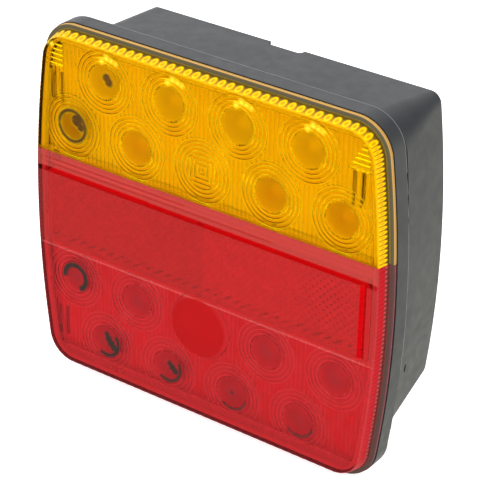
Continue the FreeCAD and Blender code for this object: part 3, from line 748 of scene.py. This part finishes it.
class Look:
    """A node material built step by step."""

    def __init__(self, name):
        self.mat = bpy.data.materials.new(name)
        self.mat.use_nodes = True
        self.nt = self.mat.node_tree
        self.bsdf = self.nt.nodes["Principled BSDF"]
        coord = self.nt.nodes.new("ShaderNodeTexCoord")
        self.place = coord.outputs["Object"]

    def add(self, kind, **values):
        n = self.nt.nodes.new(kind)
        for key, value in values.items():
            setattr(n, key, value)
        return n

    def noise(self, scale, detail=3.0, rough=0.6, stretch=None):
        n = self.add("ShaderNodeTexNoise")
        n.inputs["Scale"].default_value = scale
        n.inputs["Detail"].default_value = detail
        n.inputs["Roughness"].default_value = rough
        source = self.place
        if stretch:
            m = self.add("ShaderNodeMapping")
            m.inputs["Scale"].default_value = stretch
            self.nt.links.new(source, m.inputs["Vector"])
            source = m.outputs["Vector"]
        self.nt.links.new(source, n.inputs["Vector"])
        return n.outputs["Fac"]

    def ramp(self, fac, low, high, a=0.35, b=0.65):
        n = self.add("ShaderNodeValToRGB")
        n.color_ramp.elements[0].position = a
        n.color_ramp.elements[1].position = b
        n.color_ramp.elements[0].color = (*low, 1)
        n.color_ramp.elements[1].color = (*high, 1)
        self.nt.links.new(fac, n.inputs["Fac"])
        return n.outputs["Color"]

    def range(self, fac, low, high, a=0.3, b=0.7):
        n = self.add("ShaderNodeMapRange")
        n.inputs["From Min"].default_value = a
        n.inputs["From Max"].default_value = b
        n.inputs["To Min"].default_value = low
        n.inputs["To Max"].default_value = high
        self.nt.links.new(fac, n.inputs["Value"])
        return n.outputs["Result"]

    def bump(self, height, strength, distance):
        n = self.add("ShaderNodeBump")
        n.inputs["Strength"].default_value = strength
        n.inputs["Distance"].default_value = distance
        self.nt.links.new(height, n.inputs["Height"])
        return n.outputs["Normal"]

    def put(self, source, socket):
        self.nt.links.new(source, self.bsdf.inputs[socket])

    def fix(self, **values):
        for key, value in values.items():
            self.bsdf.inputs[key.replace("_", " ")].default_value = value
        return self


def plastic(name, low, high, rough, grain=1400.0, grain_depth=0.00002, strength=0.2, spread=0.05):
    look = Look(name)
    look.put(look.ramp(look.noise(60.0), low, high), "Base Color")
    look.put(look.range(look.noise(300.0, 2.0), rough - spread, rough + spread), "Roughness")
    look.put(look.bump(look.noise(grain, 2.0), strength, grain_depth), "Normal")
    return look


def clear(name, low, high, rough, ior=1.49):
    look = Look(name)
    look.put(look.ramp(look.noise(35.0, 2.0), low, high), "Base Color")
    look.put(look.range(look.noise(240.0, 2.0), rough, rough + 0.04), "Roughness")
    look.fix(Transmission_Weight=1.0, IOR=ior)
    return look


def metal(name, low, high, rough):
    look = Look(name)
    look.put(look.ramp(look.noise(90.0), low, high), "Base Color")
    look.put(look.range(look.noise(300.0, 3.0, stretch=(1, 6, 1)), rough - 0.08, rough + 0.1), "Roughness")
    look.put(look.bump(look.noise(900.0, 2.0), 0.15, 0.00001), "Normal")
    look.fix(Metallic=1.0)
    return look


def combine(look, a, b, operation):
    """One value from two, each of them a socket or a number."""
    n = look.add("ShaderNodeMath", operation=operation)
    for socket, value in zip(n.inputs, (a, b)):
        if isinstance(value, float):
            socket.default_value = value
        else:
            look.nt.links.new(value, socket)
    return n.outputs[0]


def product(look, a, b):
    return combine(look, a, b, "MULTIPLY")


def largest(look, values):
    total = values[0]
    for value in values[1:]:
        total = combine(look, total, value, "MAXIMUM")
    return total


def vector(look, operation, value, other=None):
    """Outputs of a vector operation on a socket and, where one is given, a fixed vector."""
    n = look.add("ShaderNodeVectorMath", operation=operation)
    look.nt.links.new(value, n.inputs[0])
    if other:
        n.inputs[1].default_value = other
    return n.outputs


def arc_mask(look, x, z, r_in, r_out, facing, spread, soft=0.15):
    """1 on part of a ring round a lamp's axis: between two radii, and within spread of a direction."""
    near = vector(look, "SUBTRACT", look.place, (x * MM, 0, z * MM))["Vector"]
    level = vector(look, "MULTIPLY", near, (1000, 0, 1000))["Vector"]
    size = vector(look, "LENGTH", level)["Value"]
    turn = math.radians(facing)
    along = vector(look, "DOT_PRODUCT", level, (math.cos(turn), 0, math.sin(turn)))["Value"]
    share = combine(look, along, size, "DIVIDE")
    limit = math.cos(math.radians(spread))
    past_inner = look.range(size, 0, 1, r_in - soft, r_in + soft)
    within_outer = look.range(size, 1, 0, r_out - soft, r_out + soft)
    within_spread = look.range(share, 0, 1, limit - 0.12, limit + 0.02)
    return product(look, product(look, past_inner, within_outer), within_spread)


def blend_colour(look, mask, under, over):
    """One colour over another where the mask is 1. The upper one is a socket or a plain colour."""
    n = look.add("ShaderNodeMix", data_type="RGBA")
    look.nt.links.new(mask, n.inputs["Factor"])
    look.nt.links.new(under, n.inputs[6])
    if isinstance(over, tuple):
        n.inputs[7].default_value = (*over, 1)
    else:
        look.nt.links.new(over, n.inputs[7])
    return n.outputs[2]


def coordinate(look, axis):
    n = look.add("ShaderNodeSeparateXYZ")
    look.nt.links.new(look.place, n.inputs[0])
    return n.outputs[axis]


def strip(look, axis, low, high, soft):
    """1 between two places along an axis, in millimetres."""
    place = coordinate(look, axis)
    up = look.range(place, 0, 1, (low - soft) * MM, (low + soft) * MM)
    down = look.range(place, 1, 0, (high - soft) * MM, (high + soft) * MM)
    return product(look, up, down)


def mark(look, name):
    return look.add("ShaderNodeAttribute", attribute_name=name).outputs["Fac"]


def colour_of(look):
    return look.bsdf.inputs["Base Color"].links[0].from_socket


def paint(look, mask, colour):
    """Lays a colour over what the surface has, where the mask is 1."""
    look.put(blend_colour(look, mask, colour_of(look), colour), "Base Color")


def painted_highlight_mask(look):
    """1 on the painted highlights above every lamp of the upper row, which stand half a pitch off the
    middle.
    """
    across = combine(look, coordinate(look, "X"), 1 / (LED_PITCH * MM), "MULTIPLY")
    part = look.add("ShaderNodeMath", operation="FRACT")
    look.nt.links.new(across, part.inputs[0])
    across = product(look, combine(look, part.outputs[0], 0.5, "SUBTRACT"), LED_PITCH)
    place = look.add("ShaderNodeCombineXYZ")
    look.nt.links.new(across, place.inputs["X"])
    look.nt.links.new(product(look, coordinate(look, "Z"), 1 / MM), place.inputs["Z"])
    spots = []
    for dx, dz, radius in PAINTED_HIGHLIGHTS:
        away = vector(look, "DISTANCE", place.outputs[0], (dx, 0, AMBER_HIGH + dz))["Value"]
        spots.append(look.range(away, 1, 0, 0.3 * radius, 1.3 * radius))
    return largest(look, spots)


def paint_front(look, colours, painted_shade_marks, hazes, stripes):
    """Paints the front face's hazes, stripes, painted shade marks and painted highlights, and says how far
    it scatters.
    """
    front = strip(look, "Y", -40, Y_FRONT + 0.5, 0.05)
    disc = arc_mask(look, *RED_BLANK, -1, RING_REACH - 0.8, 0, 180)
    parts = [
        arc_mask(look, x + FRONT_SHIFT, z + FRONT_SHIFT, *rest, PAINTED_SHADE_SOFT) for x, z, *rest in painted_shade_marks
    ]
    dark = product(look, largest(look, parts), front)
    bare = combine(look, 1.0, dark, "SUBTRACT")
    clouds = []
    for axis, low, high, soft, colour, amount in hazes:
        band = product(look, strip(look, axis, low, high, soft), front)
        band = product(look, product(look, band, look.range(disc, 1.0, 0.25, 0.0, 1.0)), bare)
        paint(look, band, colour)
        clouds.append(product(look, band, amount))
    for z_low, z_high, x_low, x_high, soft, colour in stripes:
        area = product(look, strip(look, "Z", z_low, z_high, soft), strip(look, "X", x_low, x_high, soft))
        paint(look, product(look, area, front), colour)
    # painted shade: the shadows inside the lamps' cups, on the front face
    paint(look, dark, colours["painted_shade_front"])
    clouds.append(product(look, dark, MARK_SCATTER))
    # painted highlights above the upper row of lamps
    if "painted_highlight" in colours:
        painted_highlight = product(look, painted_highlight_mask(look), front)
        paint(look, painted_highlight, colours["painted_highlight"])
        clouds.append(product(look, painted_highlight, MARK_SCATTER))
    return largest(look, clouds)


def lens_look(name, colours, tint, painted_shade_marks, hazes=(), stripes=()):
    """Clear coloured plastic whose pattern, side wall and lip each show their own shade."""
    look = clear(name, colours["face"], colours["face_too"], 0.02)
    rough = look.bsdf.inputs["Roughness"].links[0].from_socket
    tone = mark(look, "tone")
    paint(look, look.range(tone, 0, 1, 0.0, 1.0), colours["bright"])
    paint(look, look.range(tone, 1, 0, -1.0, 0.0), colours["deep"])
    # painted shade: the shadows inside the lamps' cups, on the inside face
    paint(look, mark(look, "shade"), colours["dark"])
    cloudy = paint_front(look, colours, painted_shade_marks, hazes, stripes)
    glow = look.add("ShaderNodeValToRGB")
    glow.color_ramp.elements[0].color = (*colours["wall_dark"], 1)
    glow.color_ramp.elements[1].color = (*colours["wall_bright"], 1)
    glow.color_ramp.elements.new(0.5).color = (*colours["wall"], 1)
    look.nt.links.new(mark(look, "glow"), glow.inputs["Fac"])
    wall, lip, edge = mark(look, "wall"), mark(look, "lip"), mark(look, "edge")
    paint(look, wall, glow.outputs["Color"])
    paint(look, mark(look, "inner"), colours["inner"])
    paint(look, lip, colours["lip"])
    paint(look, edge, colours["edge"])
    solid = product(look, largest(look, [wall, lip, edge]), WALL_SCATTER)
    solid = largest(look, [solid, cloudy])
    look.put(combine(look, 1.0, solid, "SUBTRACT"), "Transmission Weight")
    dull = product(look, largest(look, [wall, lip, mark(look, "frost")]), DULLNESS)
    look.put(combine(look, dull, rough, "ADD"), "Roughness")
    look.fix(Specular_Tint=(*tint, 1), Specular_IOR_Level=0.06)
    return look


AMBER_COLOURS = {
    "face": (1.0, 0.63, 0.0),
    "face_too": (1.0, 0.66, 0.0),
    "bright": (1.0, 0.88, 0.02),
    # colour of the painted highlights
    "painted_highlight": (1.0, 0.80, 0.05),
    "deep": (0.86, 0.34, 0.0),
    # painted shade of the lamps' cups, on the inside face and on the front face
    "dark": (0.05, 0.02, 0.005),
    "painted_shade_front": (0.09, 0.042, 0.015),
    "wall_dark": (0.09, 0.06, 0.01),
    "wall": (0.66, 0.31, 0.0),
    "wall_bright": (0.86, 0.56, 0.0),
    "inner": (1.0, 0.74, 0.03),
    "lip": (0.10, 0.09, 0.055),
    "edge": (0.60, 0.32, 0.08),
}
RED_COLOURS = {
    "face": (0.80, 0.040, 0.046),
    "face_too": (0.84, 0.044, 0.050),
    "bright": (0.94, 0.55, 0.55),
    "deep": (0.50, 0.36, 0.36),
    # painted shade of the lamps' cups, on the inside face and on the front face
    "dark": (0.03, 0.03, 0.03),
    "painted_shade_front": (0.035, 0.038, 0.032),
    "wall_dark": (0.07, 0.04, 0.035),
    "wall": (0.38, 0.002, 0.008),
    "wall_bright": (0.36, 0.11, 0.10),
    "inner": (0.95, 0.40, 0.38),
    "lip": (0.085, 0.055, 0.045),
    "edge": (0.11, 0.02, 0.035),
}
# cloudy bands on the red face, the last one a painted highlight line: axis, from, to, softness, colour, how
# far it scatters
RED_HAZES = (
    ("Z", -HALF_H, REFLEX_LOW, 0.1, (0.78, 0.068, 0.078), 0.09),
    ("Z", REFLEX_LOW, REFLEX_HIGH - 0.8, 0.1, (0.70, 0.075, 0.072), 0.17),
    ("Z", REFLEX_HIGH + 0.6, PARTING_Z, 0.15, (0.64, 0.095, 0.080), 0.33),
    # painted highlight along the lower edge of the face's shallow pocket
    ("Z", REFLEX_LOW - 0.03, REFLEX_LOW + 0.22, 0.06, (0.80, 0.17, 0.16), 0.30),
)
# deep red lines where the reflectors' frame meets the lens: z from, to, x from, to, softness, colour
RED_STRIPES = (
    (REFLEX_HIGH - 0.8, REFLEX_HIGH + 0.3, -50.0, 48.0, 0.12, (0.86, 0.0, 0.004)),
    (REFLEX_HIGH - 0.4, REFLEX_HIGH + 0.8, -50.0, -16.0, 0.15, (0.86, 0.0, 0.004)),
    (REFLEX_HIGH + 1.8, REFLEX_HIGH + 2.1, -50.0, 22.0, 0.12, (0.55, 0.03, 0.02)),
    (REFLEX_HIGH + 3.2, REFLEX_HIGH + 3.5, -50.0, -5.0, 0.12, (0.55, 0.03, 0.02)),
    (REFLEX_LOW + 1.4, REFLEX_HIGH - 0.9, 47.7, 49.1, 0.12, (0.95, 0.0, 0.006)),
    (REFLEX_LOW + 1.4, REFLEX_HIGH - 0.4, 49.1, 49.6, 0.08, (0.45, 0.0, 0.004)),
)


def board_look():
    """Dark lacquer with a pale reflecting disc printed round each lamp."""
    look = plastic("board_dark", (0.02, 0.035, 0.02), (0.03, 0.05, 0.03), 0.45)
    masks = [arc_mask(look, x, z, -1, WINDOW_R, 0, 180) for x, z in AMBER_SPOTS + RED_SPOTS]
    paint(look, largest(look, masks), (0.90, 0.90, 0.87))
    return look


def housing_look():
    """Satin black moulding with a painted highlight line along the rim's rear edge."""
    look = plastic("housing_black", (0.019, 0.020, 0.022), (0.026, 0.027, 0.029), 0.42)
    look.fix(Specular_IOR_Level=0.2)
    # painted highlight along the rim's rear edge
    edge = strip(look, "Y", Y_RIM_FRONT + 4.75, Y_RIM_FRONT + 5.35, 0.15)
    paint(look, edge, (0.085, 0.087, 0.092))
    return look


def reflex_look():
    """Red reflector plastic: darker at the prism tips, deep red on the plain frame."""
    look = Look("reflex_red")
    tone = mark(look, "tone")
    base = look.ramp(look.noise(260.0), (0.80, 0.10, 0.10), (0.95, 0.14, 0.14))
    dark = look.add("ShaderNodeMix", data_type="RGBA", blend_type="MULTIPLY")
    dark.inputs["Factor"].default_value = 1.0
    shade = look.range(tone, 0.0, 1.0, 0.0, 1.0)
    grey = look.add("ShaderNodeCombineColor")
    for channel in ("Red", "Green", "Blue"):
        look.nt.links.new(shade, grey.inputs[channel])
    look.nt.links.new(base, dark.inputs[6])
    look.nt.links.new(grey.outputs[0], dark.inputs[7])
    frame_mask = look.range(tone, 0.0, 1.0, 1.2, 1.8)
    look.put(blend_colour(look, frame_mask, dark.outputs[2], (0.90, 0.02, 0.025)), "Base Color")
    look.put(look.range(look.noise(240.0, 2.0), 0.25, 0.4), "Roughness")
    look.fix(IOR=1.5)
    return look


LOOKS = {
    "housing_black": housing_look(),
    "lens_amber": lens_look("lens_amber", AMBER_COLOURS, (1.0, 0.70, 0.10), AMBER_PAINTED_SHADE),
    "lens_red": lens_look("lens_red", RED_COLOURS, (1.0, 0.45, 0.45), RED_PAINTED_SHADE, RED_HAZES, RED_STRIPES),
    "seal_rubber": plastic("seal_rubber", (0.015, 0.015, 0.016), (0.03, 0.03, 0.03), 0.75),
    "reflex_red": reflex_look(),
    "reflex_backing": plastic("reflex_backing", (0.62, 0.60, 0.58), (0.70, 0.68, 0.66), 0.45),
    "bezel_white": plastic("bezel_white", (0.84, 0.84, 0.82), (0.90, 0.90, 0.88), 0.40),
    "board_dark": board_look(),
    "led_amber": plastic("led_amber", (0.80, 0.79, 0.74), (0.86, 0.85, 0.80), 0.35),
    "led_red": plastic("led_red", (0.80, 0.79, 0.77), (0.86, 0.85, 0.83), 0.35),
    "component_black": plastic("component_black", (0.02, 0.02, 0.02), (0.035, 0.035, 0.035), 0.5),
    "capacitor_can": metal("capacitor_can", (0.55, 0.55, 0.57), (0.7, 0.7, 0.72), 0.3),
    "terminal_plastic": plastic("terminal_plastic", (0.55, 0.55, 0.50), (0.65, 0.65, 0.6), 0.45),
    "contact_brass": metal("contact_brass", (0.72, 0.55, 0.25), (0.8, 0.62, 0.3), 0.28),
    "zinc_steel": metal("zinc_steel", (0.5, 0.5, 0.51), (0.68, 0.68, 0.7), 0.33),
    "stud_steel": metal("stud_steel", (0.30, 0.30, 0.31), (0.42, 0.42, 0.43), 0.36),
    "stud_seal_rubber": plastic("stud_seal_rubber", (0.012, 0.012, 0.013), (0.025, 0.025, 0.025), 0.7),
    "grommet_rubber": plastic("grommet_rubber", (0.014, 0.014, 0.015), (0.028, 0.028, 0.029), 0.65),
    "vent_plastic": plastic("vent_plastic", (0.05, 0.05, 0.052), (0.075, 0.075, 0.078), 0.5),
}

slot_of = {part["node"]: part["material_slot"] for part in frame["record"]["subparts"]}


def wear(thing, slot):
    thing.data.materials.clear()
    thing.data.materials.append(LOOKS[slot].mat)


for name, thing in nodes.items():
    wear(thing, slot_of[name])

for thing, node in (
    (amber, "lens_amber"),
    (red, "lens_red"),
    (reflex_left, "reflex_reflector_left"),
    (reflex_right, "reflex_reflector_right"),
    (stud_left, "mounting_stud_left"),
    (stud_right, "mounting_stud_right"),
):
    wear(thing, slot_of[node])
    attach(thing, "root")
    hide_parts(node)

# --- floor, light and camera --------------------------------------------------------------------

floor_mesh = bpy.data.meshes.new("floor")
side = 4.0
corners = [(-side, -side, 0), (side, -side, 0), (side, side, 0), (-side, side, 0)]
floor_mesh.from_pydata(corners, [], [(0, 1, 2, 3)])
floor = bpy.data.objects.new("floor", floor_mesh)
bpy.context.scene.collection.objects.link(floor)
floor.location.z = cad_low.z - 0.0002
floor.visible_glossy = False
floor_look = Look("floor")
floor_look.put(floor_look.ramp(floor_look.noise(3.0), (0.62, 0.62, 0.62), (0.64, 0.64, 0.64)), "Base Color")
floor_look.fix(Roughness=0.9, Emission_Color=(1, 1, 1, 1), Emission_Strength=0.75)
floor_mesh.materials.append(floor_look.mat)

world = bpy.data.worlds.new("studio")
bpy.context.scene.world = world
world.use_nodes = True
wt = world.node_tree
wt.nodes.clear()


def sky(kind, **values):
    n = wt.nodes.new(kind)
    for key, value in values.items():
        setattr(n, key, value)
    return n


w_co = sky("ShaderNodeTexCoord")
w_sep = sky("ShaderNodeSeparateXYZ")
wt.links.new(w_co.outputs["Generated"], w_sep.inputs["Vector"])
w_map = sky("ShaderNodeMapRange")
w_map.inputs["From Min"].default_value = -1
w_map.inputs["From Max"].default_value = 1
wt.links.new(w_sep.outputs["Z"], w_map.inputs["Value"])
w_ramp = sky("ShaderNodeValToRGB")
w_ramp.color_ramp.elements[0].position = 0.30
w_ramp.color_ramp.elements[0].color = (0.62, 0.62, 0.61, 1)
w_ramp.color_ramp.elements[1].position = 0.70
w_ramp.color_ramp.elements[1].color = (1.30, 1.30, 1.32, 1)
wt.links.new(w_map.outputs["Result"], w_ramp.inputs["Fac"])
light_now = w_ramp.outputs["Color"]


def patch(source, direction, inner, outer, colour):
    """Multiplies the surroundings by a colour round a direction, fading out between two angles."""
    aim = Vector(direction).normalized()
    dot = sky("ShaderNodeVectorMath", operation="DOT_PRODUCT")
    wt.links.new(w_co.outputs["Generated"], dot.inputs[0])
    dot.inputs[1].default_value = aim
    fade = sky("ShaderNodeMapRange", interpolation_type="SMOOTHSTEP")
    fade.inputs["From Min"].default_value = math.cos(math.radians(outer))
    fade.inputs["From Max"].default_value = math.cos(math.radians(inner))
    wt.links.new(dot.outputs["Value"], fade.inputs["Value"])
    mix = sky("ShaderNodeMix", data_type="RGBA", blend_type="MULTIPLY")
    wt.links.new(fade.outputs["Result"], mix.inputs["Factor"])
    wt.links.new(source, mix.inputs[6])
    mix.inputs[7].default_value = (*colour, 1)
    return mix.outputs[2]


light_now = patch(light_now, (-0.50, -0.71, -0.50), 14, 45, (0.12, 0.12, 0.12))
light_now = patch(light_now, (0.50, 0.70, 0.45), 8, 34, (0.25, 0.25, 0.25))
light_now = patch(light_now, (0.55, 0.70, -0.55), 10, 50, (1.75, 1.75, 1.55))

w_bg = sky("ShaderNodeBackground")
wt.links.new(light_now, w_bg.inputs["Color"])
w_bg.inputs["Strength"].default_value = 1.45
w_seen = sky("ShaderNodeBackground")
w_seen.inputs["Color"].default_value = (1, 1, 1, 1)
w_seen.inputs["Strength"].default_value = 1.1
w_path = sky("ShaderNodeLightPath")
w_mix = sky("ShaderNodeMixShader")
w_out = sky("ShaderNodeOutputWorld")
wt.links.new(w_path.outputs["Is Camera Ray"], w_mix.inputs["Fac"])
wt.links.new(w_bg.outputs["Background"], w_mix.inputs[1])
wt.links.new(w_seen.outputs["Background"], w_mix.inputs[2])
wt.links.new(w_mix.outputs["Shader"], w_out.inputs["Surface"])


def softbox(name, where, aim, size, power):
    lamp = bpy.data.lights.new(name, "AREA")
    lamp.shape = "RECTANGLE"
    lamp.size, lamp.size_y = size
    lamp.energy = power
    thing = bpy.data.objects.new(name, lamp)
    bpy.context.scene.collection.objects.link(thing)
    thing.location = where
    thing.rotation_mode = "QUATERNION"
    thing.rotation_quaternion = (Vector(aim) - Vector(where)).to_track_quat("-Z", "Y")
    return thing


softbox("light_over", (-0.20, -0.05, 0.85), (0, 0, 0), (0.35, 0.30), 1.6)

CAMERA_AT = Vector((0.275132, -0.398453, 0.258329))
FOCAL_LENGTH = 158.19  # in millimetres, for a sensor 36 mm wide
AZIMUTH = math.radians(35.378)
ELEVATION = math.radians(28.848)
ROLL = math.radians(1.207)
back = Vector((
    math.sin(AZIMUTH) * math.cos(ELEVATION),
    -math.cos(AZIMUTH) * math.cos(ELEVATION),
    math.sin(ELEVATION),
))
right = (-back).cross(Vector((0, 0, 1))).normalized()
up = right.cross(-back)
cam_x = math.cos(ROLL) * right + math.sin(ROLL) * up
cam_y = -math.sin(ROLL) * right + math.cos(ROLL) * up
camera_data = bpy.data.cameras.new("camera")
camera = bpy.data.objects.new("camera", camera_data)
bpy.context.scene.collection.objects.link(camera)
camera_data.sensor_width = 36.0
camera_data.lens = FOCAL_LENGTH
camera_data.clip_start = 0.01
camera_data.clip_end = 20.0
camera.matrix_world = Matrix((
    (cam_x.x, cam_y.x, back.x, CAMERA_AT.x),
    (cam_x.y, cam_y.y, back.y, CAMERA_AT.y),
    (cam_x.z, cam_y.z, back.z, CAMERA_AT.z),
    (0, 0, 0, 1),
))
scene = bpy.context.scene
scene.camera = camera
scene.view_settings.view_transform = "Standard"
scene.cycles.max_bounces = 20
scene.cycles.transmission_bounces = 20
scene.cycles.glossy_bounces = 8
scene.cycles.diffuse_bounces = 6
